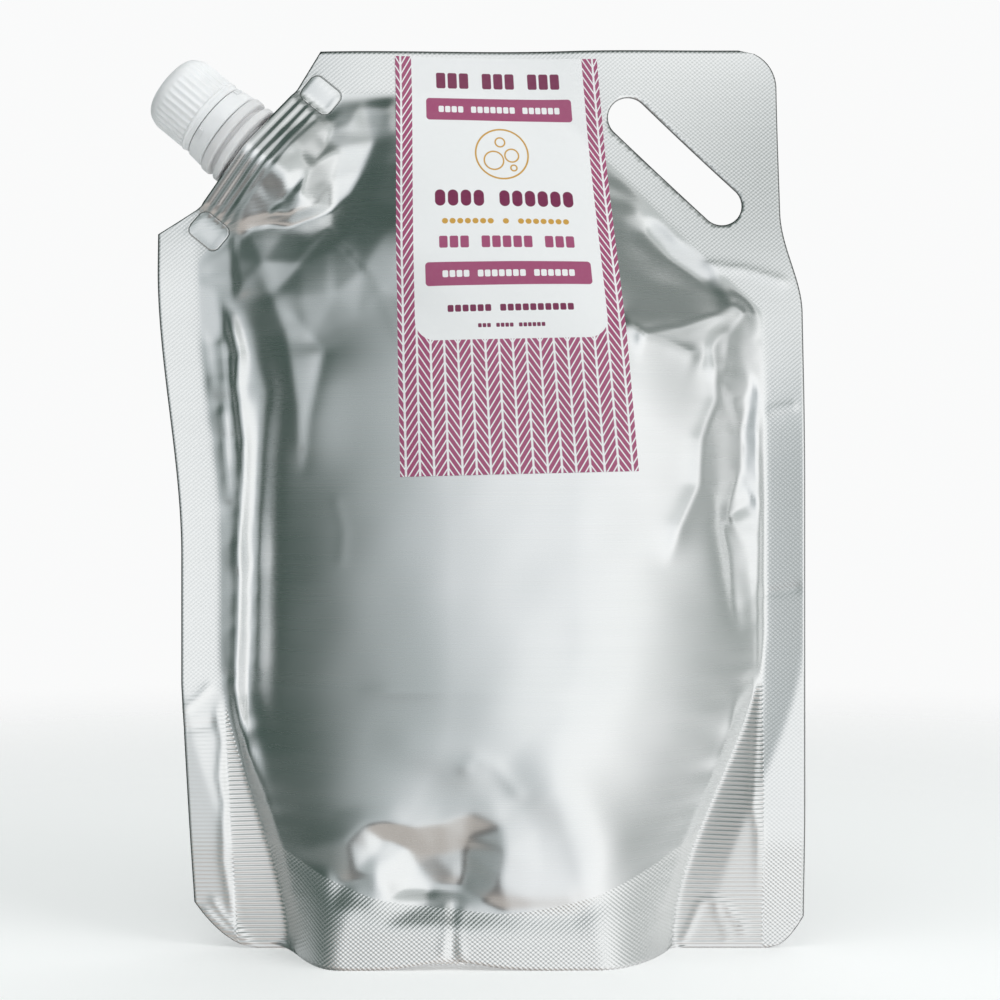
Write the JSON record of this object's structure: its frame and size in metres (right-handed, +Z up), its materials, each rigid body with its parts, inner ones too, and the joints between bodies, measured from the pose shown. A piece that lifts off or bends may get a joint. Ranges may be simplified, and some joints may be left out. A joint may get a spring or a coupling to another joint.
{
  "type": "hand soap refill pack",
  "caption": "Filled stand-up foil pouch on a gusset, with a capped spout set in one slanted top corner and a long carrying slot in the other.",
  "frame": {"origin": "floor level, on the flat underside of the gusset, midway between the side seals and between front and back", "axes": "+X to the handle side, +Y to the back, +Z up; the labelled front faces -Y"},
  "size_m": [0.1826, 0.0556, 0.2546],
  "materials": {
    "foil": "satin metallised film",
    "label": "semi-gloss printed",
    "spout_plastic": "natural polyethylene",
    "cap_plastic": "white satin",
    "liner_foam": "matt foam"
  },
  "bodies": {
    "pack": {"pouch": "foil", "front_label": "label", "spout": "spout_plastic", "tamper_band": "cap_plastic"},
    "liner": {"cap_liner": "liner_foam"},
    "cap": {"screw_cap": "cap_plastic"}
  },
  "joints": [
    {"name": "cap_lift", "type": "slide", "parent": "pack", "child": "liner", "axis": [-0.7716, 0, 0.6361], "range_m": [0, 0.01405]},
    {"name": "cap_turn", "type": "hinge", "parent": "liner", "child": "cap", "pos_m": [-0.07477, 0, 0.23149], "axis": [-0.7716, 0, 0.6361], "range_deg": [0, 840]}
  ],
  "couplings": [
    {"joint": "cap_lift", "follows": "cap_turn", "m_per_rad": 0.00095493}
  ]
}
